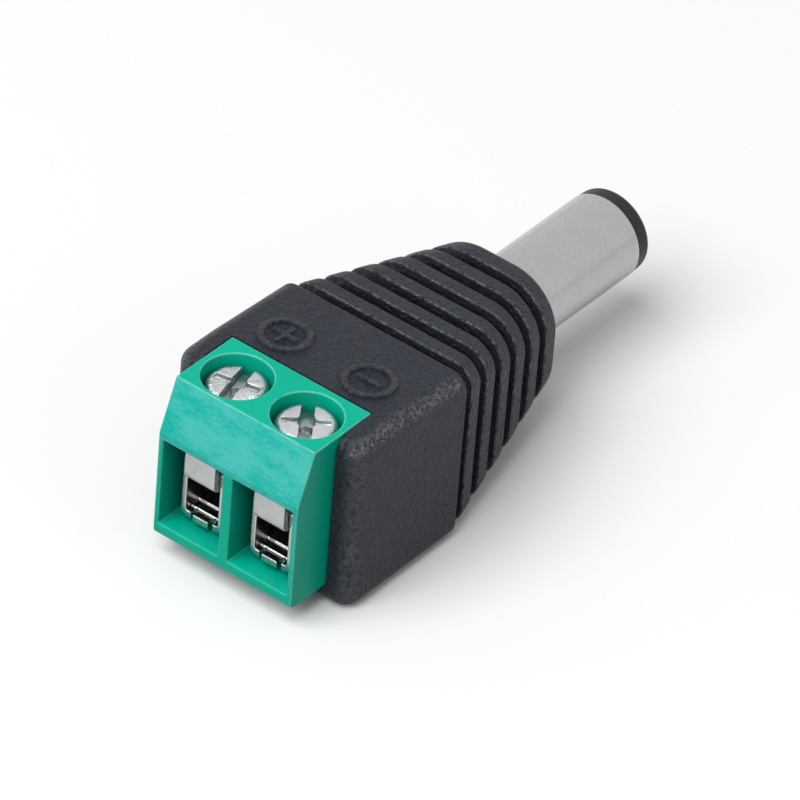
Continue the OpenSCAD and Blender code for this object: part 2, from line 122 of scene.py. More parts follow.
def lathe(name: str, profile: Sequence[tuple[float, float]], centre: Point, axis: str,
          steps: int = 128) -> Piece:
    """Turns a closed profile: a point (t, r) goes to t along the axis and r cos a, r sin a across.

    Args:
        name: The piece's name.
        profile: Points (along, radius) in order; the last joins the first.
        centre: A point on the axis.
        axis: "x" or "z".
        steps: How many steps there are in a turn.

    Returns:
        The new object.
    """
    along, radius = np.array(profile, float).T
    turn = np.linspace(0, 2 * math.pi, steps, endpoint=False)[:, None]
    a, b = radius * np.cos(turn), radius * np.sin(turn)
    t = np.broadcast_to(along, a.shape)
    rings = np.stack([t, a, b] if axis == "x" else [a, b, t], -1) + np.array(centre)
    rings = np.concatenate([rings, rings[:1]])
    return loft(name, rings, caps=False)


def prism(name: str, outline: np.ndarray, low: float, high: float, axis: str = "y") -> Piece:
    """Carries a closed outline straight along one axis from low to high.

    Args:
        name: The piece's name.
        outline: An (n, 2) array: (x, z) for axis "y", (y, z) for axis "x", (x, y) for axis "z".
        low: Where it starts.
        high: Where it ends.
        axis: The direction it is carried in.

    Returns:
        The new object.
    """
    place = "xyz".index(axis)
    rings = [np.insert(np.asarray(outline, float), place, value, axis=1) for value in (low, high)]
    return loft(name, np.stack(rings))


def block(low: Sequence[float], high: Sequence[float]) -> Piece:
    """A plain rectangular cutter between two corners."""
    (x0, y0, z0), (x1, y1, z1) = low, high
    return prism("cutter", np.array([[x0, z0], [x1, z0], [x1, z1], [x0, z1]]), y0, y1)


def post(centre: Point, radius: float, height: float, top_radius: float | None = None,
         steps: int = 96) -> Piece:
    """A plain upright round cutter, which may taper."""
    top = radius if top_radius is None else top_radius
    return lathe("cutter", [(0, 0), (height, 0), (height, top), (0, radius)], centre, "z", steps)


def arc(centre: tuple[float, float], radius: float, start: float, end: float,
        steps: int = 8) -> np.ndarray:
    """Points of a flat arc, its angles in degrees, as an (steps + 1, 2) array."""
    turn = np.radians(np.linspace(start, end, steps + 1))
    return np.array(centre) + radius * np.stack([np.cos(turn), np.sin(turn)], -1)


def bake_modifiers(piece: Piece) -> None:
    """Puts the result of a piece's modifiers into its mesh."""
    shown = piece.evaluated_get(bpy.context.evaluated_depsgraph_get())
    mesh = bpy.data.meshes.new_from_object(shown)
    piece.modifiers.clear()
    old = piece.data
    piece.data = mesh
    mesh.name = piece.name
    bpy.data.meshes.remove(old)


def carve(piece: Piece, cutters: Sequence[Piece], join: bool = False) -> None:
    """Takes cutters out of a piece, or joins them to it, and removes them."""
    for cutter in cutters:
        step = piece.modifiers.new("carve", "BOOLEAN")
        step.operation = "UNION" if join else "DIFFERENCE"
        step.solver = "EXACT"
        step.object = cutter
        bake_modifiers(piece)
        bpy.data.objects.remove(cutter)


def soften(piece: Piece, width: float, segments: int = 2, angle: float = 25) -> None:
    """Rounds a piece's sharp edges and keeps where they are in the attribute "edge".

    Args:
        piece: The piece.
        width: The rounding's width in millimetres.
        segments: How many strips it has.
        angle: Edges that turn less than this many degrees stay as they are.
    """
    body = bmesh.new()
    body.from_mesh(piece.data)
    bmesh.ops.remove_doubles(body, verts=body.verts, dist=SOFTEN_MERGE * MM)
    bmesh.ops.dissolve_limit(body, angle_limit=math.radians(SOFTEN_FLAT), verts=body.verts,
                             edges=body.edges)
    body.to_mesh(piece.data)
    body.free()
    edge = piece.modifiers.new("soften", "BEVEL")
    edge.width = width * MM
    edge.segments = segments
    edge.limit_method = "ANGLE"
    edge.angle_limit = math.radians(angle)
    edge.miter_outer = "MITER_ARC"
    edge.use_clamp_overlap = False
    edge.harden_normals = False
    edge.material = 1
    while len(piece.data.materials) < 2:
        spare = bpy.data.materials.get("spare") or bpy.data.materials.new("spare")
        piece.data.materials.append(spare)
    piece.data.polygons.foreach_set("material_index", np.zeros(len(piece.data.polygons), np.int32))
    bake_modifiers(piece)
    mesh = piece.data
    face_mark = np.zeros(len(mesh.polygons), np.int32)
    mesh.polygons.foreach_get("material_index", face_mark)
    corner_face = np.repeat(np.arange(len(mesh.polygons)), [len(p.vertices) for p in mesh.polygons])
    corner_point = np.zeros(len(mesh.loops), np.int32)
    mesh.loops.foreach_get("vertex_index", corner_point)
    plain = np.zeros(len(mesh.vertices))
    np.add.at(plain, corner_point, 1.0 - face_mark[corner_face])
    rounded = plain == 0
    put(piece, "edge", rounded.astype(float))
    log.info("%s: %d of %d points lie on rounded edges", piece.name, int(rounded.sum()), len(plain))
    mesh.polygons.foreach_set("material_index", np.zeros(len(mesh.polygons), np.int32))
    mesh.materials.clear()


def put(piece: Piece, name: str, values: np.ndarray) -> None:
    """Stores one value per point in a named attribute."""
    mesh = piece.data
    attribute = mesh.attributes.get(name) or mesh.attributes.new(name, "FLOAT", "POINT")
    attribute.data.foreach_set("value", np.asarray(values, np.float32))


def places(piece: Piece) -> np.ndarray:
    """The piece's points in millimetres, as an (n, 3) array."""
    flat = np.zeros(len(piece.data.vertices) * 3)
    piece.data.vertices.foreach_get("co", flat)
    return flat.reshape(-1, 3) / MM


def smooth(piece: Piece, angle: float = 32) -> None:
    """Shades a piece smooth and keeps edges sharper than the angle, in degrees, sharp."""
    piece.data.polygons.foreach_set("use_smooth", np.ones(len(piece.data.polygons), bool))
    piece.data.set_sharp_from_angle(angle=math.radians(angle))
    piece.data.update()


def settle(piece: Piece, finish: Material, body: str, node: str) -> None:
    """Dresses a finished piece and puts it in the frame in place of its fixed node."""
    piece.data.materials.clear()
    piece.data.materials.append(finish)
    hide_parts(node)
    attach(piece, body)
    log.info("%s: %d faces, stands for %s", piece.name, len(piece.data.polygons), node)


# ---------------------------------------------------------------- shading


def set_input(tree: Tree, target: Socket, value: object) -> None:
    """Joins an input to the socket that feeds it, or sets its own value."""
    if isinstance(value, Socket):
        tree.links.new(value, target)
    elif target.type == "RGBA" and len(value) == 3:
        target.default_value = (*value, 1.0)
    else:
        target.default_value = value


def toned(colour: Colour, share: float) -> Colour:
    """A colour made darker or lighter, held at white."""
    return tuple(min(1.0, share * c) for c in colour)


class Graph:
    """A node tree with short calls for adding nodes and joining them."""

    def __init__(self, tree: Tree) -> None:
        """Wraps a tree."""
        self.tree = tree

    def add(self, kind: str, values: dict[str | int, object] | None = None,
            **settings: object) -> Node:
        """Adds a node, sets its properties, and sets or joins its inputs.

        Args:
            kind: The node's type, without its ShaderNode prefix.
            values: Input name or number to a value or to the socket that feeds it.
            settings: Properties of the node.

        Returns:
            The node.
        """
        node = self.tree.nodes.new("ShaderNode" + kind)
        for key, value in settings.items():
            setattr(node, key, value)
        for key, value in (values or {}).items():
            set_input(self.tree, node.inputs[key], value)
        return node

    def math(self, operation: str, a: object, b: object = 0.0, c: object = 0.0) -> Socket:
        """One arithmetic step."""
        return self.add("Math", {0: a, 1: b, 2: c}, operation=operation).outputs[0]

    def ramp(self, value: Socket, low: float, high: float, out_low: float = 0.0,
             out_high: float = 1.0) -> Socket:
        """Maps a value from one span to another, held at both ends."""
        return self.add("MapRange", {0: value, 1: low, 2: high, 3: out_low, 4: out_high},
                        interpolation_type="SMOOTHSTEP").outputs[0]

    def mix(self, share: object, a: object, b: object) -> Socket:
        """Mixes two colours."""
        return self.add("Mix", {0: share, 6: a, 7: b}, data_type="RGBA").outputs[2]

    def over(self, base: Socket, mask: Socket, share: float, colour: Colour) -> Socket:
        """Lays a share of a colour over another where a mask is."""
        return self.mix(self.math("MULTIPLY", mask, share), base, colour)

    def noise(self, vector: Socket, scale: object, detail: float = 3.0, rough: float = 0.5,
              distortion: float = 0.0) -> Socket:
        """A noise value from 0 to 1."""
        return self.add("TexNoise", {"Vector": vector, "Scale": scale, "Detail": detail,
                                     "Roughness": rough, "Distortion": distortion}).outputs[0]

    def stretch(self, vector: Socket, scale: Point) -> Socket:
        """A vector multiplied by a scale for each axis."""
        return self.add("VectorMath", {0: vector, 1: scale}, operation="MULTIPLY").outputs[0]

    def attribute(self, name: str) -> Socket:
        """A piece's own value of that name."""
        return self.add("Attribute", attribute_name=name).outputs["Fac"]

    def place_mm(self) -> Socket:
        """The place on the piece, in millimetres."""
        return self.stretch(self.add("TexCoord").outputs["Object"], (1 / MM, 1 / MM, 1 / MM))


def new_group(name: str, inputs: dict[str, float | str], outputs: Sequence[str],
              build: Callable[[Graph, dict[str, Socket]], Sequence[Socket]]) -> Tree:
    """Makes a shader node group.

    Args:
        name: The group's name.
        inputs: Input name to its start value, or to "vector".
        outputs: The names of its value outputs.
        build: Adds the nodes, given the graph and its inputs by name, and gives what to put out.

    Returns:
        The group.
    """
    tree = bpy.data.node_groups.new(name, "ShaderNodeTree")
    for key, value in inputs.items():
        kind = "NodeSocketVector" if value == "vector" else "NodeSocketFloat"
        made = tree.interface.new_socket(key, in_out="INPUT", socket_type=kind)
        if value != "vector":
            made.default_value = value
    for key in outputs:
        tree.interface.new_socket(key, in_out="OUTPUT", socket_type="NodeSocketFloat")
    graph = Graph(tree)
    entry = tree.nodes.new("NodeGroupInput")
    leave = tree.nodes.new("NodeGroupOutput")
    for index, socket in enumerate(build(graph, {k: entry.outputs[k] for k in inputs})):
        tree.links.new(socket, leave.inputs[index])
    return tree


class Effects:
    """The shared effects, each a node group that is built once."""

    def __init__(self) -> None:
        """Builds every group."""
        at = {"Place": "vector"}
        self.grain = new_group("leather_grain", at | {"Scale": 4.0, "Sharpness": 0.5},
                               ["Height", "Pits"], self._grain)
        self.wear_and_highlight = new_group("edge_wear_and_highlight", at | {"Edge": 0.0, "Scale": 6.0, "Amount": 0.5},
                              ["Mask"], self._wear_and_highlight)
        self.drag = new_group("drag_marks", at | {"Scale": 3.0, "Cover": 0.5},
                              ["Mask", "Height"], self._drag)
        self.mottle = new_group("mottle", at | {"Scale": 0.4}, ["Value"], self._mottle)

    def wear_and_highlight_mask(self, g: Graph, at: Socket, edge: Socket, scale: float, amount: float) -> Socket:
        """The edge mask for worn edges and painted edge highlights, in a material."""
        return g.add("Group", {"Place": at, "Edge": edge, "Scale": scale, "Amount": amount},
                     node_tree=self.wear_and_highlight).outputs[0]

    def cloud(self, g: Graph, at: Socket, scale: float) -> tuple[Socket, Socket]:
        """Slow cloudy variation in a material, as it is and spread over 0 to 1."""
        value = g.add("Group", {"Place": at, "Scale": scale}, node_tree=self.mottle).outputs[0]
        return value, g.ramp(value, 0.3, 0.7)

    @staticmethod
    def _grain(g: Graph, i: dict[str, Socket]) -> Sequence[Socket]:
        """Spark-eroded grain: short wrinkles from warped noise, broken by rounded cells."""
        scale, reach = i["Scale"], 0.35
        warp = g.add("TexNoise", {"Vector": i["Place"], "Scale": g.math("MULTIPLY", scale, 0.6),
                                  "Detail": 2.0})
        shift = g.add("VectorMath", {0: warp.outputs["Color"], 1: (0.5, 0.5, 0.5)},
                      operation="SUBTRACT")
        moved = g.add("VectorMath", {0: shift.outputs[0], 1: (reach, reach, reach), 2: i["Place"]},
                      operation="MULTIPLY_ADD").outputs[0]
        cells = g.add("TexVoronoi", {"Vector": moved, "Scale": scale},
                      feature="SMOOTH_F1").outputs["Distance"]
        wrinkle = g.noise(moved, g.math("MULTIPLY", scale, 1.3), 3.0, 0.55)
        ridges = g.math("ABSOLUTE", g.math("SUBTRACT", wrinkle, 0.5))
        body = g.math("MULTIPLY_ADD", cells, 0.55, g.math("MULTIPLY", ridges, 1.6))
        fine = g.noise(i["Place"], g.math("MULTIPLY", scale, 4.0), 2.0, 0.6)
        height = g.math("MULTIPLY_ADD", fine, g.math("MULTIPLY", i["Sharpness"], 0.3), body)
        return [height, g.ramp(body, 0.18, 0.45)]

    @staticmethod
    def _wear_and_highlight(g: Graph, i: dict[str, Socket]) -> Sequence[Socket]:
        """Worn edges and painted edge highlights: the edge's own value, broken up by coarse and fine
        noise.
        """
        coarse = g.noise(i["Place"], i["Scale"], 3.0, 0.6)
        fine = g.noise(i["Place"], g.math("MULTIPLY", i["Scale"], 5.0), 2.0, 0.6)
        broken = g.math("MULTIPLY_ADD", fine, 0.5, coarse)
        reach = g.math("SUBTRACT", 1.2, g.math("MULTIPLY", i["Amount"], 0.9))
        kept = g.ramp(g.math("SUBTRACT", broken, reach), -0.12, 0.18)
        return [g.math("MULTIPLY", i["Edge"], kept)]

    @staticmethod
    def _drag(g: Graph, i: dict[str, Socket]) -> Sequence[Socket]:
        """Fine marks dragged along Y: noise that is stretched along Y, cut to broken threads."""
        threads = g.noise(g.stretch(i["Place"], (6.0, 0.55, 6.0)), i["Scale"], 4.0, 0.7)
        patches = g.noise(g.stretch(i["Place"], (1.0, 0.4, 1.0)), 0.9, 3.0, 0.6)
        gate = g.math("ADD", threads, g.math("MULTIPLY", g.math("SUBTRACT", patches, 0.5), 0.9))
        limit = g.math("SUBTRACT", 1.0, g.math("MULTIPLY", i["Cover"], 0.9))
        mask = g.ramp(g.math("SUBTRACT", gate, limit), -0.1, 0.16)
        return [mask, threads]

    @staticmethod
    def _mottle(g: Graph, i: dict[str, Socket]) -> Sequence[Socket]:
        """Slow cloudy variation."""
        return [g.noise(i["Place"], i["Scale"], 2.0, 0.5, 0.3)]


class Finish:
    """What every finish shares: a new material with its graph, place and shader."""

    def start(self, name: str) -> tuple[Material, Graph, Node, Socket]:
        """Makes an empty material.

        Args:
            name: The material's name.

        Returns:
            The material, its graph, its Principled shader and the place in millimetres.
        """
        material = bpy.data.materials.new(name)
        material.use_nodes = True
        material.node_tree.nodes.clear()
        graph = Graph(material.node_tree)
        shader = graph.add("BsdfPrincipled")
        graph.add("OutputMaterial", {"Surface": shader.outputs[0]})
        return material, graph, shader, graph.place_mm()

    @staticmethod
    def feed(graph: Graph, shader: Node, **sockets: object) -> None:
        """Joins or sets the shader's inputs; an underscore in a name stands for a space."""
        for key, value in sockets.items():
            set_input(graph.tree, shader.inputs[key.replace("_", " ")], value)

    @staticmethod
    def bump(graph: Graph, height: Socket, depth: float, strength: float = 1.0) -> Socket:
        """A normal bent by a height; the height's step of 1 is depth millimetres."""
        return graph.add("Bump", {"Height": height, "Distance": depth * MM,
                                  "Strength": strength}).outputs[0]


@dataclass(frozen=True)
class MouldedGrain(Finish):
    """Black moulding with a leathery grain, worn on its long edges, with painted highlights on its
    worn rib edges, and smooth in its grooves, which carry painted shade.
    """

    name: str = "black_grained"
    colour: Colour = (0.0105, 0.0148, 0.027)
    # Painted highlight, with worn spots, on the rib, groove and nose edges.
    rubbed: Colour = (0.30, 0.31, 0.33)
    fleck: Colour = (0.36, 0.365, 0.385)
    cloud_tone: float = 0.82
    pit_tone: float = 2.4
    groove_shade_tone: float = 0.4
    line_tone: float = 0.2
    grain_scale: float = 3.4
    grain_depth: float = 0.6
    roughness: float = 0.42
    gloss: float = 0.38
    parting_z: float = -0.5
    parting_end: float = -18.7
    parting_y: float = -6.6

    def build(self, fx: Effects) -> Material:
        """Builds the material."""
        material, g, shader, at = self.start(self.name)
        edge, groove, rubbed = g.attribute("edge"), g.attribute("groove"), g.attribute("rubbed")
        grain = g.add("Group", {"Place": at, "Scale": self.grain_scale, "Sharpness": 0.7},
                      node_tree=fx.grain)
        wear_and_highlight = fx.wear_and_highlight_mask(g, at, edge, 2.6, 0.56)
        fleck = fx.wear_and_highlight_mask(g, at, rubbed, 5.0, 0.5)
        _, clear = fx.cloud(g, at, 0.35)
        base = g.mix(clear, toned(self.colour, self.cloud_tone), self.colour)
        base = g.over(base, grain.outputs["Pits"], 0.6, toned(self.colour, self.pit_tone))
        # Painted shade: the grooves are darkened to a share of the colour.
        base = g.mix(groove, base, toned(self.colour, self.groove_shade_tone))
        # Painted highlight, with worn spots, on the edges that the edge weights mark.
        base = g.over(base, wear_and_highlight, 0.75, self.rubbed)
        base = g.over(base, fleck, 0.7, self.fleck)
        base = g.mix(self.parting(g, at), base, toned(self.colour, self.line_tone))
        rough = g.math("MULTIPLY_ADD", clear, 0.06, self.roughness)
        rough = g.math("SUBTRACT", rough, g.math("MULTIPLY", wear_and_highlight, 0.16))
        rough = g.math("SUBTRACT", rough, g.math("MULTIPLY", rubbed, 0.08))
        open_face = g.math("SUBTRACT", 1.0, g.math("MULTIPLY", groove, 0.8))
        height = g.math("MULTIPLY", grain.outputs["Height"], open_face)
        self.feed(g, shader, Base_Color=base, Roughness=rough, Specular_IOR_Level=self.gloss,
                  Normal=self.bump(g, height, self.grain_depth))
        return material

    def parting(self, g: Graph, at: Socket) -> Socket:
        """The mould's parting line, faint, on the rear of the -Y side."""
        x, y, z = g.add("SeparateXYZ", {0: at}).outputs
        gap = g.math("ABSOLUTE", g.math("SUBTRACT", z, self.parting_z))
        line = g.math("MULTIPLY", g.ramp(gap, 0.06, 0.02), g.math("LESS_THAN", y, self.parting_y))
        return g.math("MULTIPLY", line, g.math("LESS_THAN", x, self.parting_end))


@dataclass(frozen=True)
class GlossyBlock(Finish):
    """Green moulding, satin, with pale drag marks on its slope and paler rims, worn and with a
    painted highlight.
    """

    name: str = "green_satin"
    colour: Colour = (0.0, 0.475, 0.318)
    sloped: Colour = (0.006, 0.43, 0.375)
    pale: Colour = (0.12, 0.58, 0.54)
    rim_wear_and_highlight: Colour = (0.19, 0.60, 0.44)
    shaded: Colour = (0.0, 0.15, 0.14)
    cloud_tone: float = 0.94
    roughness: float = 0.32
    gloss: float = 0.1
    depth: float = 0.008
    face_x: float = -24.3
    window_top: float = 2.12

    def build(self, fx: Effects) -> Material:
        """Builds the material."""
        material, g, shader, at = self.start(self.name)
        edge, slope, inner = g.attribute("edge"), g.attribute("slope"), g.attribute("inner")
        wear_and_highlight = fx.wear_and_highlight_mask(g, at, edge, 1.6, 0.66)
        drag = g.add("Group", {"Place": at, "Scale": 4.2, "Cover": 0.62}, node_tree=fx.drag)
        _, clear = fx.cloud(g, at, 0.3)
        slope = g.math("MAXIMUM", slope, self.brow(g, at))
        marks = g.math("MULTIPLY", drag.outputs["Mask"], slope)
        base = g.mix(clear, self.colour, toned(self.colour, self.cloud_tone))
        base = g.over(base, slope, 0.75, self.sloped)
        base = g.over(base, marks, 0.56, self.pale)
        # Painted highlight, with worn spots: the rims are paler.
        base = g.over(base, wear_and_highlight, 0.7, self.rim_wear_and_highlight)
        base = g.over(base, inner, 0.85, self.shaded)
        rough = g.math("MULTIPLY_ADD", marks, 0.18, self.roughness)
        fine = g.noise(at, 9.0, 2.0, 0.6)
        threads = g.math("MULTIPLY", slope, 0.8)
        height = g.math("MULTIPLY_ADD", drag.outputs["Height"], threads, fine)
        self.feed(g, shader, Base_Color=base, Roughness=rough, Specular_IOR_Level=self.gloss,
                  Normal=self.bump(g, height, self.depth))
        return material

    def brow(self, g: Graph, at: Socket) -> Socket:
        """1 on the front face's narrow strip between the slope and the windows, 0 elsewhere."""
        x, _, z = g.add("SeparateXYZ", {0: at}).outputs
        return g.math("MULTIPLY", g.math("LESS_THAN", x, self.face_x),
                      g.math("GREATER_THAN", z, self.window_top))


class Plating(Enum):
    """The metal finishes: colour, roughness, brushing along X, depth of unevenness in mm."""

    NICKEL = ((0.53, 0.53, 0.525), 0.13, 0.3, 0.012)
    ZINC = ((0.62, 0.63, 0.65), 0.26, 0.0, 0.05)
    TIN = ((0.52, 0.515, 0.52), 0.42, 0.0, 0.01)
    TURNED = ((0.46, 0.455, 0.447), 0.15, 1.0, 0.006)
    SOCKET = ((0.74, 0.68, 0.54), 0.3, 0.4, 0.006)
    SOLDER = ((0.66, 0.67, 0.69), 0.3, 0.0, 0.03)


@dataclass(frozen=True)
class PlatedMetal(Finish):
    """Plated metal with cloudy dulling, fine brushing and bright worn edges."""

    name: str
    plating: Plating
    screw_at: tuple[float, float] = (-20.8, 2.5)
    ridge_turn: float = 2.6
    ridge_height: float = 4.5
    grit_tone: float = 0.7
    rub_tone: float = 1.25
    slot_colour: Colour = (0.16, 0.2, 0.2)

    def build(self, fx: Effects) -> Material:
        """Builds the material."""
        colour, roughness, brushing, depth = self.plating.value
        material, g, shader, at = self.start(self.name)
        wear_and_highlight = fx.wear_and_highlight_mask(g, at, g.attribute("edge"), 3.0, 0.8)
        _, clear = fx.cloud(g, at, 0.8)
        hair = g.noise(g.stretch(at, (0.6, 9.0, 9.0)), 2.0, 3.0, 0.6)
        grit = g.noise(at, 8.0, 2.0, 0.7)
        base = g.mix(clear, toned(colour, 0.86 + 0.1 * brushing), colour)
        base = g.over(base, g.ramp(grit, 0.4, 0.7), 0.2 + 0.2 * brushing,
                      toned(colour, self.grit_tone))
        base = g.over(base, wear_and_highlight, 0.6, toned(colour, self.rub_tone))
        rough = g.math("MULTIPLY_ADD", clear, 0.1 - 0.08 * brushing, roughness)
        rough = g.math("MULTIPLY_ADD", grit, 0.08,
                       g.math("SUBTRACT", rough, g.math("MULTIPLY", wear_and_highlight, 0.06)))
        slow = g.math("MULTIPLY", g.noise(at, 2.2), 1 - brushing)
        height = g.math("MULTIPLY_ADD", hair, 0.5 * brushing, slow)
        height = g.math("MULTIPLY_ADD", grit, 0.5 + 1.5 * brushing, height)
        if self.plating is Plating.ZINC:
            base = g.over(base, g.attribute("inner"), 0.6, self.slot_colour)
            height = g.math("ADD", height, self.ridges(g, at))
        self.feed(g, shader, Base_Color=base, Roughness=rough, Metallic=1.0,
                  Normal=self.bump(g, height, depth, 0.8))
        return material

    def ridges(self, g: Graph, at: Socket) -> Socket:
        """Crumpled ridges out from a screw's middle: noise taken along a circle round it."""
        x, y, _ = g.add("SeparateXYZ", {0: at}).outputs
        across = g.math("SUBTRACT", g.math("ABSOLUTE", y), self.screw_at[1])
        along = g.math("SUBTRACT", x, self.screw_at[0])
        arm = g.add("CombineXYZ", {0: along, 1: across}).outputs[0]
        unit = g.add("VectorMath", {0: arm}, operation="NORMALIZE").outputs[0]
        drift = g.stretch(at, (0.7, 0.7, 0.7))
        spread = g.add("VectorMath", {0: unit, 1: (self.ridge_turn,) * 3, 2: drift},
                       operation="MULTIPLY_ADD").outputs[0]
        return g.math("MULTIPLY", g.noise(spread, 1.5, 3.0, 0.6),
                      g.math("MULTIPLY", g.attribute("ruffle"), self.ridge_height))


@dataclass(frozen=True)
class PlainPlastic(Finish):
    """Smooth plastic with cloudy colour and faint unevenness."""

    name: str
    colour: Colour
    roughness: float
    gloss: float = 0.35
    cloud_tone: float = 0.85
    rub_tone: float = 2.2

    def build(self, fx: Effects) -> Material:
        """Builds the material."""
        material, g, shader, at = self.start(self.name)
        wear_and_highlight = fx.wear_and_highlight_mask(g, at, g.attribute("edge"), 2.0, 0.6)
        cloud, clear = fx.cloud(g, at, 0.6)
        base = g.mix(clear, toned(self.colour, self.cloud_tone), self.colour)
        base = g.over(base, wear_and_highlight, 0.4, toned(self.colour, self.rub_tone))
        rough = g.math("MULTIPLY_ADD", cloud, 0.12, self.roughness)
        self.feed(g, shader, Base_Color=base, Roughness=rough, Specular_IOR_Level=self.gloss,
                  Normal=self.bump(g, g.noise(at, 6.0), 0.01))
        return material


# ---------------------------------------------------------------- the moulded body


@dataclass
class MouldedBody:
    """The ribbed body: one surface carried along the barrel's axis, with a pocket at its rear."""

    front_x: float = -21.3
    seam_x: float = -18.2
    rim_x: float = -11.6
    nose_x: float = -1.47
    half_square: float = 6.7
    half_rib: float = 6.6
    half_nose: float = 4.4
    up_rear: float = 5.8
    up_rib: float = 5.3
    up_nose: float = 4.15
    top_fall: float = 0.35
    down_rear: float = 6.1
    down_nose: float = 4.5
    corner: float = 1.1
    nose_corner: float = 3.3
    nose_rim: float = 0.45
    ribs: int = 5
    groove_w: float = 0.8
    groove_deep: float = 0.8
    rib_edge: float = 0.14
    groove_corner: float = 0.375
    lip_share: float = 0.98
    far_rub: float = 0.7
    pocket_half: float = 5.06
    pocket_foot: float = -4.76
    pocket_gap: float = 0.06
    barrel_r: float = 2.77
    sign_back: float = 2.25
    sign_side: float = 3.02
    sign_ring: float = 1.42
    sign_bead: float = 0.23
    sign_bar: float = 0.72
    sign_stroke: float = 0.17
    sign_proud: float = 0.125
    sign_round: float = 0.6
    # The signs' edge weight: how much painted highlight and worn spots they take.
    sign_edge: float = 0.2
    top_points: int = 60
    corner_points: int = 16
    side_points: int = 18

    def part_way(self, x: np.ndarray) -> np.ndarray:
        """0 at the first groove, 1 at the nose face, held at 0 behind the first groove."""
        return np.clip((x - self.rim_x) / -self.rim_x, 0, 1)

    def sizes(self, x: np.ndarray) -> tuple[np.ndarray, np.ndarray, np.ndarray, np.ndarray]:
        """Half width, height above and below the axis and corner radius at stations x.

        Each goes from its rear value to its nose value in proportion to part_way.
        """
        t, ribbed = self.part_way(x), x > self.rim_x + 0.01
        half = np.where(ribbed, self.half_rib + t * (self.half_nose - self.half_rib),
                        self.half_square)
        fall = self.top_fall * np.clip((x - self.seam_x) / (self.rim_x - self.seam_x), 0, 1)
        up = np.where(ribbed, self.up_rib + t * (self.up_nose - self.up_rib), self.up_rear - fall)
        down = self.down_rear + t * (self.down_nose - self.down_rear)
        return half, up, down, self.corner + t * (self.nose_corner - self.corner)

    def stations(self) -> tuple[np.ndarray, ...]:
        """The profile along the axis.

        It is a path of (x, inset) that goes round each edge in a quarter circle, with how much each
        point is an edge and how much it is in a groove.
        """
        rows: list[tuple[float, float, float, float]] = []

        def quarter(x: float, c: float, radius: float, start: float, end: float, steps: int,
                    edge: float, groove: float) -> None:
            """Adds a quarter circle of points round (x, c)."""
            for a in np.radians(np.linspace(start, end, steps + 1)):
                wear_and_highlight_weight = edge * math.sin(math.radians(180 * (math.degrees(a) - start) / (end - start)))
                rows.append((x + radius * math.cos(a), c - radius * math.sin(a), wear_and_highlight_weight, groove))

        def straight(stops: Sequence[float]) -> None:
            """Adds points on the plain surface."""
            rows.extend((x, 0.0, 0.0, 0.0) for x in stops)

        r = self.corner
        # The seventh number of each quarter is its edge weight: how much painted highlight and worn
        # spots it takes in the black finish.
        quarter(self.front_x + r, r, r, 180, 90, 10, 0.4, 0.0)
        seam = self.seam_x + self.pocket_gap
        straight((seam, seam + 0.001))
        e, w, d = self.rib_edge, self.groove_w, self.groove_deep
        pitch = (self.nose_x - w - self.rim_x) / self.ribs
        straight(np.linspace(seam + 0.1, self.rim_x - e, 40)[:-1])
        for k in range(self.ribs + 1):
            x0 = self.rim_x + k * pitch
            quarter(x0 - e, e, e, 90, 0, 5, 0.6, 0.0)
            quarter(x0 + e, d - e, e, 180, 270, 3, 0.0, 1.0)
            quarter(x0 + w - e, d - e, e, 270, 360, 3, 0.0, 1.0)
            # The edge on each groove's nose side takes the full painted highlight.
            quarter(x0 + w + e, e, e, 180, 90, 5, 1.0, 0.0)
            if k < self.ribs:
                straight(np.linspace(x0 + w + e, x0 + pitch - e, 5)[1:-1])
        straight(np.linspace(self.nose_x + e, -self.nose_rim, 4)[1:-1])
        quarter(-self.nose_rim, self.nose_rim, self.nose_rim, 90, 0, 8, 0.35, 0.0)
        table = np.array(rows)
        return tuple(table.T)

    def ring_share(self) -> np.ndarray:
        """Shares of the pocket's path, wall, floor and wall, with points at its two corners."""
        n = self.top_points
        wall = n // 4
        return np.concatenate([np.linspace(0, 1, wall, endpoint=False),
                               np.linspace(1, 2, n - 2 * wall, endpoint=False),
                               np.linspace(2, 3, wall + 1)])

    def rings(self) -> tuple[np.ndarray, dict[str, np.ndarray]]:
        """All rings of the surface with their marks.

        A ring runs from the pocket's +Y lip out over the +Y side, under, up the -Y side to the
        other lip and back across: straight over the top, or down, across and up where the pocket
        is open.
        """
        x, inset, wear_and_highlight_weight, groove = self.stations()
        half, up, down, corner = (v[:, None] for v in self.sizes(x))
        c = inset[:, None]
        w, u, d = half - c, up - c, down - c
        r = np.maximum(corner - np.where(x > self.rim_x, self.groove_corner, 1.0)[:, None] * c, 0.02)
        turn = np.radians(np.linspace(0, 90, self.corner_points + 1))
        cos, sin = np.cos(turn), np.sin(turn)
        run = np.linspace(0, 1, self.side_points + 1)[1:-1]
        lip = np.minimum(self.pocket_half, self.lip_share * (w - r))
        outer_y, outer_z = [lip], [u + 0 * lip]

        def add(y: np.ndarray, z: np.ndarray) -> None:
            """Adds columns of points."""
            outer_y.append(np.broadcast_to(y, (len(x), y.shape[1])))
            outer_z.append(np.broadcast_to(z, (len(x), z.shape[1])))

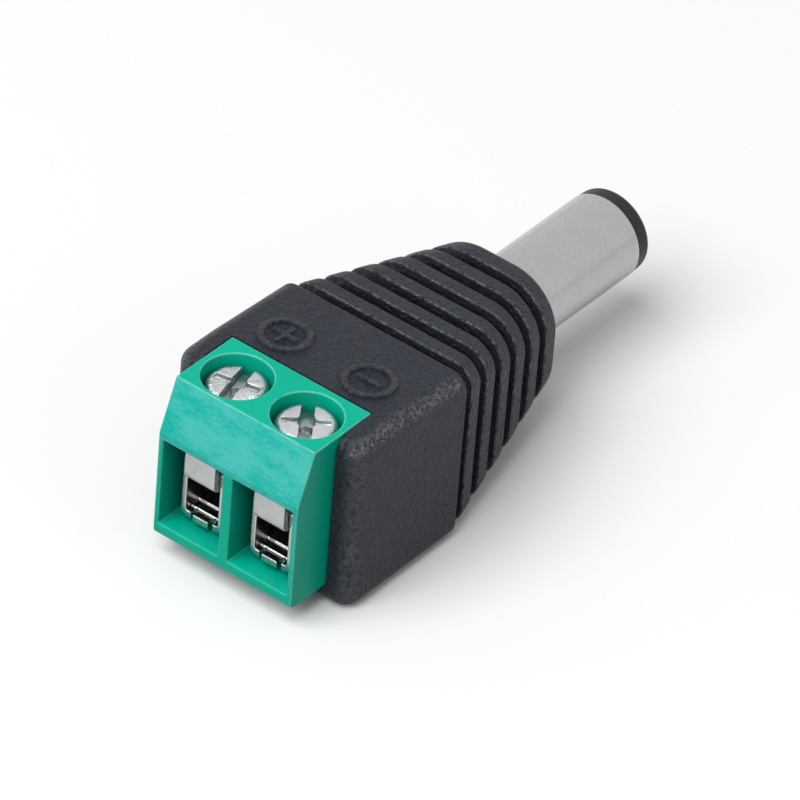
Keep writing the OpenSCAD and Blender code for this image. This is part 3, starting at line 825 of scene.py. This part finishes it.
        add(w - r + r * sin, u - r + r * cos)
        add(w + 0 * run, (u - r) + ((-d + r) - (u - r)) * run)
        add(w - r + r * cos, -d + r - r * sin)
        add((w - r) * (1 - 2 * run), -d + 0 * run * w)
        add(-(w - r) - r * sin, -d + r - r * cos)
        add(-w + 0 * run, (-d + r) + ((u - r) - (-d + r)) * run)
        add(-(w - r) - r * cos, u - r + r * sin)
        share = self.ring_share()
        flat_y = -lip + 2 * lip * share / 3
        deep = self.pocket_foot
        s = np.clip(share, 0, 3)
        open_y = np.where(s < 1, -lip, np.where(s < 2, -lip + 2 * lip * (s - 1), lip))
        open_z = np.where(s < 1, u + (deep - u) * s,
                          np.where(s < 2, deep, deep + (u - deep) * (s - 2)))
        is_open = (x <= self.seam_x + self.pocket_gap + 1e-6)[:, None]
        add(np.where(is_open, open_y, flat_y)[:, :-1],
            np.where(is_open, open_z, u + 0 * flat_y)[:, :-1])
        y, z = np.concatenate(outer_y, 1), np.concatenate(outer_z, 1)
        xs = np.broadcast_to(x[:, None], y.shape).copy()
        size = y.shape[1]
        points = np.stack([xs, y, z], -1)
        n, m = self.corner_points + 1, self.side_points - 1
        long_edge = np.zeros(size)
        long_edge[1:1 + n] = self.far_rub * np.sin(2 * turn) ** 2
        long_edge[1 + 3 * n + 3 * m:1 + 4 * n + 3 * m] = np.sin(2 * turn) ** 2
        square = np.where(x < self.rim_x - 0.2, 1.0, 0.0)[:, None]
        marks = {
            "edge": np.broadcast_to(wear_and_highlight_weight[:, None], y.shape),
            "groove": np.broadcast_to(groove[:, None], y.shape),
            "rubbed": square * np.maximum(long_edge[None, :], 0.0) * np.ones_like(y),
        }
        return points, marks

    def signs(self) -> list[np.ndarray]:
        """The raised pole signs, each an (r, n, 3) array of rings, and sunk a little in the top.

        Their section is a flat half ellipse: across by cos a, up by (sin a) to the power
        sign_round. A ring is that section turned about its middle; a bar is it carried straight,
        narrowing in a half circle at both ends.
        """
        a = np.linspace(0, math.pi, 25)
        across = np.concatenate([np.cos(a), [-1.0, 1.0]])
        up = np.concatenate([np.sin(a) ** self.sign_round, [-0.5, -0.5]])
        turn = np.linspace(0, 2 * math.pi, 145)[:, None]
        radius = self.sign_ring + self.sign_bead * across
        ring = np.stack([radius * np.cos(turn), radius * np.sin(turn),
                         self.sign_proud * up + 0 * turn], -1)
        run = np.concatenate([-np.cos(np.linspace(0.15, math.pi / 2, 9)),
                              np.cos(np.linspace(math.pi / 2, 0.15, 9))])
        along = (self.sign_stroke * run + self.sign_bar * np.repeat([-1, 1], 9))[:, None]
        width = np.sqrt(1 - run ** 2)[:, None]
        bar = np.stack([self.sign_stroke * width * across, along + 0 * across,
                        self.sign_proud * width ** self.sign_round * up], -1)
        middle_x = self.seam_x + self.sign_back
        fall = self.top_fall / (self.rim_x - self.seam_x)
        shells = []
        for side, bars in ((self.sign_side, (bar, bar[..., [1, 0, 2]])), (-self.sign_side, (bar,))):
            for shell in (ring, *bars):
                z = shell[..., 2] + self.up_rear - fall * (self.sign_back + shell[..., 0])
                shells.append(np.stack([shell[..., 0] + middle_x, shell[..., 1] + side, z], -1))
        return shells

    def build(self, finish: Material) -> Piece:
        """Builds and dresses the body."""
        points, marks = self.rings()
        size = points.shape[1]
        last = points[-1]
        angle = np.arctan2(last[:, 2], last[:, 1])
        lip = np.stack([np.zeros(size), self.barrel_r * np.cos(angle),
                        self.barrel_r * np.sin(angle)], -1)
        inner = lip - np.array([0.6, 0, 0])
        points = np.concatenate([points, [last + (lip - last) * 0.5, lip, inner]])
        flat, faces = points.reshape(-1, 3), skin(*points.shape[:2])
        values = {name: np.concatenate([grid, np.zeros((3, size))]).reshape(-1)
                  for name, grid in marks.items()}
        for shell in self.signs():
            faces += skin(*shell.shape[:2], start=len(flat))
            flat = np.concatenate([flat, shell.reshape(-1, 3)])
            count = shell.shape[0] * shell.shape[1]
            values = {name: np.concatenate([old, np.full(count, self.sign_edge * (name == "edge"))])
                      for name, old in values.items()}
        piece = new_piece("moulded_body", flat, faces, merge=False)
        for name, marked in values.items():
            put(piece, name, marked)
        smooth(piece, 38)
        settle(piece, finish, "plug", "housing")
        return piece


# ---------------------------------------------------------------- the clamp block


@dataclass
class ClampBlock:
    """The green block: a prism with a sloping brow and a round foot, carved for the two clamps."""

    half: float = 5.0
    seam_x: float = -18.2
    face_x: float = -24.37
    brow_x: float = -23.13
    top_z: float = 5.8
    foot_z: float = -4.7
    slope_drop: float = 3.27
    foot_r: float = 0.4
    tongue_x: float = -16.6
    tongue_half: float = 4.3
    tongue_top: float = 3.6
    pole_y: float = 2.5
    screw_x: float = -20.8
    well_r: float = 2.075
    ledge_z: float = 4.0
    shank_r: float = 1.32
    window_half: float = 2.15
    window_top: float = 2.08
    window_foot: float = -3.8
    guide_x: float = -21.6
    guide_end: float = -18.075
    guide_half: float = 1.56
    guide_top: float = 3.0
    cage_x: float = -23.305
    strip_half: float = 1.1
    strip_t: float = 0.5

    def build(self, finish: Material) -> Piece:
        """Builds and dresses the block."""
        slope_z = self.top_z - self.slope_drop
        foot = arc((self.face_x + self.foot_r, self.foot_z + self.foot_r), self.foot_r, 180, 270, 8)
        outline = np.concatenate([[[self.seam_x, self.top_z], [self.brow_x, self.top_z],
                                   [self.face_x, slope_z]], foot, [[self.seam_x, self.foot_z]]])
        piece = prism("green_block", outline, -self.half, self.half)
        tongue = block((self.seam_x - 0.2, -self.tongue_half, self.foot_z + 0.7),
                       (self.tongue_x, self.tongue_half, self.tongue_top))
        carve(piece, [tongue], join=True)
        for side in (-1, 1):
            carve(piece, self.hollows(side * self.pole_y))
        soften(piece, 0.1, 3)
        self.mark(piece)
        smooth(piece, 12)
        settle(piece, finish, "plug", "terminal_block")
        return piece

    def hollows(self, y: float) -> list[Piece]:
        """The cutters of one pole: well, shank hole, window, guide pocket and strip slot."""
        return [
            post((self.screw_x, y, self.ledge_z), self.well_r, 3.0),
            post((self.screw_x, y, self.guide_top - 0.1), self.shank_r, 3.0, steps=64),
            block((self.face_x - 1, y - self.window_half, self.window_foot),
                  (self.guide_x, y + self.window_half, self.window_top)),
            block((self.cage_x, y - self.guide_half, self.window_foot),
                  (self.guide_end, y + self.guide_half, self.guide_top)),
            block((self.guide_end - 0.5, y - self.strip_half, -self.strip_t),
                  (self.tongue_x + 0.5, y + self.strip_half, 0.0)),
        ]

    def mark(self, piece: Piece) -> None:
        """Marks the slope and what lies inside the windows and wells."""
        x, y, z = places(piece).T
        slope_z = self.top_z - self.slope_drop
        line = self.face_x + (z - slope_z) * (self.brow_x - self.face_x) / self.slope_drop
        slope = (np.abs(x - line) < 0.03) & (z > slope_z - 0.01) & (z < self.top_z - 0.02)
        inside = (x > self.face_x + 0.12) & (np.abs(y) < self.half - 0.1) & (z < self.top_z - 0.12)
        inside &= (z > self.foot_z + 0.2) & (x > line + 0.1)
        put(piece, "slope", slope.astype(float))
        # The front face's edges round the windows take a quarter of the rims' painted highlight and
        # worn spots.
        front = (x < self.face_x + 0.15) & (z < self.window_top + 0.15)
        around = front & (np.abs(y) < self.half - 0.15) & (z > self.foot_z + 0.15)
        edge = np.zeros(len(x), np.float32)
        piece.data.attributes["edge"].data.foreach_get("value", edge)
        put(piece, "edge", edge * np.where(around, 0.25, 1.0))
        put(piece, "inner", inside * np.where(z > self.guide_top - 0.2, 0.35, 1.0))


# ---------------------------------------------------------------- the clamps


@dataclass
class Clamp:
    """One pole's screw, folded cage and contact strip."""

    pole: str
    y: float
    slot_turn: float
    ruffle: float
    screw_x: float = -20.8
    ledge_z: float = 4.0
    head_r: float = 1.8
    head_h: float = 1.4
    shoulder: float = 0.45
    screw_r: float = 1.25
    screw_foot: float = 0.02
    thread_pitch: float = 0.45
    slot_w: float = 0.78
    slot_deep: float = 0.7
    nick_r: float = 1.42
    nick_deep: float = 0.3
    middle_r: float = 0.62
    cage_x: float = -23.225
    cage_len: float = 4.85
    cage_half: float = 1.5
    cage_top: float = 0.8
    cage_foot: float = -3.4
    sheet: float = 0.35
    floor_t: float = 0.45
    top_t: float = 0.7
    fold: float = 0.5
    ridge_r: float = 0.15
    tab_half: float = 0.55
    slit_y: float = 0.66
    lip_x: float = -23.675
    lip_t: float = 0.4
    lip_top: float = 1.95
    strip_half: float = 1.1
    strip_t: float = 0.5
    bend: float = 0.2
    seam_x: float = -18.2
    tail_x: float = -12.9
    tail_y: float = 2.9
    tail_half: float = 0.6
    jog: tuple[float, float] | None = None
    jog_x: float = -14.6

    def build_screw(self, finish: Material) -> Piece:
        """A pan head with a slot, short cross nicks and a conical middle, over a threaded shank."""
        top, r, e = self.ledge_z + self.head_h, self.head_r, self.shoulder
        crown = [(top - 0.05 * (q / (r - e)) ** 2, q) for q in np.linspace(0, r - e, 7)]
        side = [(z, q) for q, z in arc((r - e, top - 0.05 - e), e, 84, 0, 7)]
        profile = [*crown, *side, (self.ledge_z + 0.06, r), (self.ledge_z, r - 0.06),
                   (self.ledge_z, self.screw_r)]
        turns = int((self.ledge_z - 1.0) / self.thread_pitch)
        for k in range(turns):
            z = self.ledge_z - 0.5 - k * self.thread_pitch
            profile += [(z, self.screw_r), (z - self.thread_pitch * 0.5, self.screw_r - 0.2)]
        profile += [(self.screw_foot + 0.3, self.screw_r), (self.screw_foot, self.screw_r - 0.3),
                    (self.screw_foot, 0)]
        piece = lathe("clamp_screw_" + self.pole, profile, (self.screw_x, self.y, 0), "z", 112)
        floor = top - self.slot_deep
        cutters = [block((-3, -self.slot_w / 2, floor), (3, self.slot_w / 2, floor + 3)),
                   block((-0.2, -self.nick_r, top - self.nick_deep), (0.2, self.nick_r, floor + 3)),
                   post((0, 0, floor - 0.35), 0.3, self.slot_deep + 0.5, self.middle_r, 48)]
        spin = Matrix.Translation((self.screw_x * MM, self.y * MM, 0)) @ Matrix.Rotation(
            math.radians(self.slot_turn), 4, "Z")
        for cutter in cutters:
            cutter.data.transform(spin)
        carve(piece, cutters)
        soften(piece, 0.05, 2, 28)
        self.mark(piece)
        smooth(piece, 32)
        settle(piece, finish, "clamp_screw_" + self.pole, "screw_" + self.pole)
        return piece

    def mark(self, piece: Piece) -> None:
        """Marks the slot's floor and walls, and the head's share of the way out from its middle."""
        x, y, z = places(piece).T
        x, y = x - self.screw_x, y - self.y
        a = math.radians(self.slot_turn)
        across = np.abs(y * math.cos(a) - x * math.sin(a))
        top = self.ledge_z + self.head_h
        reach = np.hypot(x, y)
        inner = (z < top - 0.12) & (z > self.ledge_z)
        inner &= (across < self.slot_w / 2 + 0.02) | (reach < self.middle_r)
        put(piece, "inner", inner.astype(float))
        put(piece, "ruffle", (z > self.ledge_z) * np.clip(reach / self.head_r, 0, 1) * self.ruffle)

    def cage_outline(self, inset: float) -> np.ndarray:
        """The folded sheet's outline, (y, z), its four folds as arcs; inset gives the inner one."""
        w = self.cage_half - inset
        top = self.cage_top - (self.top_t if inset else 0)
        low = self.cage_foot + (self.floor_t if inset else 0)
        e = self.ridge_r
        r = max(self.fold - inset, e)
        points = [arc((w - r, low + r), r, 0, -90, 10), arc((-w + r, low + r), r, -90, -180, 10),
                  arc((-w + e, top - e), e, 180, 90, 8), arc((w - e, top - e), e, 90, 0, 8)]
        return np.concatenate(points) + np.array([self.y, 0])

    def build_cage(self, finish: Material) -> Piece:
        """A cage folded from sheet, with tab and knuckles in front and two ridges on its floor."""
        x0, x1 = self.cage_x, self.cage_x + self.cage_len
        piece = prism("clamp_cage_" + self.pole, self.cage_outline(0), x0, x1, "x")
        carve(piece, [prism("cutter", self.cage_outline(self.sheet), x0 - 1, x1 + 1, "x")])
        floor = self.cage_foot + self.floor_t
        joined = [block((x0 - 0.12, self.y - self.tab_half, self.cage_foot),
                        (x0 + 0.38, self.y + self.tab_half, floor + 0.04))]
        for dx in (0.6, 1.3):
            ridge = arc((x0 + dx, floor - 0.04), self.ridge_r, 0, 180, 16)
            joined.append(prism("cutter", ridge, self.y - 1.1, self.y + 1.1))
        carve(piece, joined, join=True)
        cuts = [post((self.screw_x, self.y, -2.1), self.screw_r + 0.04, 5.0, steps=64)]
        for side in (-1, 1):
            slit = self.y + side * self.slit_y
            cuts.append(block((x0 - 0.5, slit - 0.11, self.cage_foot - 1),
                              (x0 + 0.5, slit + 0.11, floor + 0.2)))
        carve(piece, cuts)
        soften(piece, 0.06, 2)
        smooth(piece, 16)
        settle(piece, finish, "clamp_cage_" + self.pole, "cage_" + self.pole)
        return piece

    def build_strip(self, finish: Material) -> Piece:
        """The contact strip: a lip bent up in the window, full width to the seam, a narrow tail."""
        x0, t, b = self.lip_x, self.strip_t, self.bend
        outer = arc((x0 + b + self.lip_t, -t + b + self.lip_t), b + self.lip_t, 270, 180, 8)
        inner = arc((x0 + b + self.lip_t, b), b, 180, 270, 5)
        outline = np.concatenate([[[self.seam_x, -t]], outer, [[x0, self.lip_top],
                                  [x0 + self.lip_t, self.lip_top]], inner, [[self.seam_x, 0.0]]])
        piece = prism("clamp_strip_" + self.pole, outline, self.y - self.strip_half,
                      self.y + self.strip_half)
        middle = math.copysign(self.tail_y, self.y)
        tails = [block((self.seam_x - 0.5, middle - self.tail_half, -t),
                       (self.tail_x, middle + self.tail_half, 0.0))]
        if self.jog:
            tails.append(block((self.jog_x, self.jog[0], -t), (self.tail_x, self.jog[1], 0.0)))
        carve(piece, tails, join=True)
        soften(piece, 0.06, 2)
        smooth(piece, 16)
        settle(piece, finish, "plug", "contact_" + self.pole)
        return piece


# ---------------------------------------------------------------- the barrel


@dataclass
class Barrel:
    """The sleeve and its insulating tip, both turned about the axis, the tip bored for the centre
    socket.
    """

    radius: float = 2.75
    wall: float = 0.4
    metal_x: float = 9.9
    tip_x: float = 11.0
    back_x: float = -6.3
    flange_x: float = -5.5
    flange_r: float = 3.5
    step: float = 0.2
    step_x: float = -0.15
    tip_round: float = 0.38
    lead_r: float = 0.4
    socket_r: float = 1.05
    socket_wall: float = 0.53
    mouth_x: float = 10.0

    def build_sleeve(self, finish: Material) -> Piece:
        """A turned tube with a flange behind and a small rounded front end."""
        e, r, bore = 0.07, self.radius, self.radius - self.wall
        ends = arc((self.metal_x - e, r - e), e, 90, 0, 4)
        profile = [(self.back_x, bore), (self.back_x, self.flange_r),
                   (self.flange_x, self.flange_r), (self.flange_x, r + self.step),
                   (self.step_x, r + self.step), (self.step_x, r), *ends, (self.metal_x, bore)]
        piece = lathe("barrel_sleeve", profile, (0, 0, 0), "x", 160)
        x = places(piece)[:, 0]
        put(piece, "edge", (x > self.metal_x - 0.06).astype(float) * 0.8)
        smooth(piece, 40)
        settle(piece, finish, "plug", "sleeve")
        return piece

    def build_tip(self, finish: Material) -> Piece:
        """The liner with its round-edged tip and a lead-in to the socket."""
        r, e = self.radius - 0.05, self.tip_round
        ends = arc((self.tip_x - e, r - e), e, 90, 0, 8)
        hole = self.socket_r + 0.15
        lead = arc((self.tip_x - self.lead_r, hole + self.lead_r), self.lead_r, 0, -90, 6)
        bore = self.radius - self.wall - 0.02
        inner = self.socket_r + self.socket_wall + 0.02
        profile = [(self.back_x, bore), (self.metal_x, bore), (self.metal_x, r - 0.06),
                   (self.metal_x + 0.06, r), *ends, *lead, (self.mouth_x, hole),
                   (self.mouth_x, inner), (self.back_x, inner)]
        piece = lathe("barrel_tip", profile, (0, 0, 0), "x", 160)
        x = places(piece)[:, 0]
        put(piece, "edge", np.clip((x - self.tip_x + 0.3) / 0.3, 0, 1) * 0.5)
        smooth(piece, 40)
        settle(piece, finish, "plug", "tip_insulator")
        return piece


# ---------------------------------------------------------------- the studio


@dataclass
class Studio:
    """A pale floor, soft lamps and the camera."""

    floor_z: float = -6.1
    camera_at: Point = (-334.87, -234.97, 313.86)
    right: Point = (0.624861, -0.777880, 0.066715)
    down: Point = (-0.449410, -0.428244, -0.783988)
    look: Point = (0.638420, 0.459901, -0.617180)
    lens: float = 405.0
    middle: Point = (-8.0, 0.0, 0.0)
    sky: float = 0.35
    bounce: float = 0.27

    def build(self) -> None:
        """Sets the floor, the world, the lamps and the camera."""
        self.lay_floor()
        self.light_world()
        self.lamp("key", (-520, 80, 760), 760, 0.96)
        self.lamp("right_side", (60, -700, 390), 330, 0.04)
        self.lamp("low_left", (-200, 60, 10), 60, 0.07)
        self.set_camera()
        scene = bpy.context.scene
        scene.view_settings.view_transform = "Standard"
        log.info("studio: floor, world, three lamps and camera")

    def lay_floor(self) -> None:
        """A wide pale floor: white where it is seen or mirrored, darker where it throws light."""
        reach = 4000.0
        points = np.array([[-reach, -reach, self.floor_z], [reach, -reach, self.floor_z],
                           [reach, reach, self.floor_z], [-reach, reach, self.floor_z]])
        floor = new_piece("floor", points, [[0, 1, 2, 3]])
        material = bpy.data.materials.new("floor")
        material.use_nodes = True
        graph = Graph(material.node_tree)
        shader = next(n for n in material.node_tree.nodes if n.type == "BSDF_PRINCIPLED")
        at = graph.place_mm()
        tone = graph.ramp(graph.noise(at, 0.004), 0.3, 0.7, 0.985, 1.0)
        Finish.feed(graph, shader, Roughness=0.9,
                    Base_Color=graph.mix(self.seen(graph), (self.bounce,) * 3, tone))
        shader.inputs["Specular IOR Level"].default_value = 0.0
        floor.data.materials.append(material)

    def light_world(self) -> None:
        """A pale world: white where it is seen or mirrored, softer where it lights."""
        world = bpy.data.worlds.new("studio")
        bpy.context.scene.world = world
        world.use_nodes = True
        world.node_tree.nodes.clear()
        g = Graph(world.node_tree)
        strength = g.math("MULTIPLY_ADD", self.seen(g), 1.0 - self.sky, self.sky)
        back = g.add("Background", {"Color": (1.0, 1.0, 1.0, 1.0), "Strength": strength})
        out = g.add("OutputWorld")
        world.node_tree.links.new(back.outputs[0], out.inputs["Surface"])

    @staticmethod
    def seen(graph: Graph) -> Socket:
        """1 for rays that show the background, straight, mirrored or through, 0 for light's own."""
        ray = graph.add("LightPath")
        straight = graph.math("MAXIMUM", ray.outputs["Is Camera Ray"], ray.outputs["Is Glossy Ray"])
        return graph.math("MAXIMUM", straight, ray.outputs["Is Transmission Ray"])

    def lamp(self, name: str, place: Point, size: float, level: float) -> None:
        """A square soft lamp aimed at the middle of the plug.

        Args:
            name: The lamp's name.
            place: Where it stands, in millimetres.
            size: Its side, in millimetres.
            level: Roughly how bright it makes a white surface that faces it.
        """
        data = bpy.data.lights.new(name, "AREA")
        data.shape = "SQUARE"
        data.size = size * MM
        gap = np.array(place, float) - np.array(self.middle)
        distance = float(np.linalg.norm(gap)) * MM
        data.energy = level * (math.pi * distance) ** 2
        lamp = bpy.data.objects.new(name, data)
        bpy.context.scene.collection.objects.link(lamp)
        back = gap / np.linalg.norm(gap)
        side = np.cross([0, 0, 1], back)
        side = side / np.linalg.norm(side)
        up = np.cross(back, side)
        turned = Matrix(np.stack([side, up, back], 1).tolist()).to_4x4()
        lamp.matrix_world = Matrix.Translation(np.array(place) * MM) @ turned

    def set_camera(self) -> None:
        """A long lens above the plug's rear right corner."""
        data = bpy.data.cameras.new("camera")
        data.lens = self.lens
        data.sensor_width = 36.0
        data.clip_start = 0.01
        data.clip_end = 20.0
        camera = bpy.data.objects.new("camera", data)
        bpy.context.scene.collection.objects.link(camera)
        axes = np.stack([self.right, -np.array(self.down), -np.array(self.look)], 1)
        place = Matrix.Translation(np.array(self.camera_at) * MM)
        camera.matrix_world = place @ Matrix(axes.tolist()).to_4x4()
        bpy.context.scene.camera = camera


# ---------------------------------------------------------------- the plug


@dataclass
class Plug:
    """The whole plug: its parts and the finishes they take."""

    fx: Effects = field(default_factory=Effects)

    def build(self) -> None:
        """Builds every new piece, and dresses the fixed nodes that stay."""
        metal = {p: PlatedMetal(p.name.lower() + "_plate", p).build(self.fx) for p in Plating}
        MouldedBody().build(MouldedGrain().build(self.fx))
        ClampBlock().build(GlossyBlock().build(self.fx))
        clamps = (Clamp("plus", 2.5, slot_turn=13.0, ruffle=1.0, jog=(-0.7, 2.9)),
                  Clamp("minus", -2.5, slot_turn=35.0, ruffle=0.25))
        for clamp in clamps:
            clamp.build_screw(metal[Plating.ZINC])
            clamp.build_cage(metal[Plating.NICKEL])
            clamp.build_strip(metal[Plating.TIN])
        barrel = Barrel()
        barrel.build_sleeve(metal[Plating.TURNED])
        barrel.build_tip(PlainPlastic("tip_black", (0.006, 0.0075, 0.011), 0.4).build(self.fx))
        self.dress("centre_contact", metal[Plating.SOCKET])
        self.dress("sleeve_lug", metal[Plating.SOCKET])
        washer = PlainPlastic("washer_plain", (0.62, 0.6, 0.53), 0.5)
        self.dress("rear_insulator", washer.build(self.fx))
        for node in ("solder_plus", "solder_minus"):
            self.dress(node, metal[Plating.SOLDER])

    @staticmethod
    def dress(node: str, finish: Material) -> None:
        """Gives a fixed node a finish."""
        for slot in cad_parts[node].material_slots:
            slot.material = finish
        log.info("%s: dressed", node)


def main() -> None:
    logging.basicConfig(level=logging.INFO, format="%(name)s: %(message)s")
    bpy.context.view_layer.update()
    Plug().build()
    Studio().build()


if __name__ == "__main__":
    main()
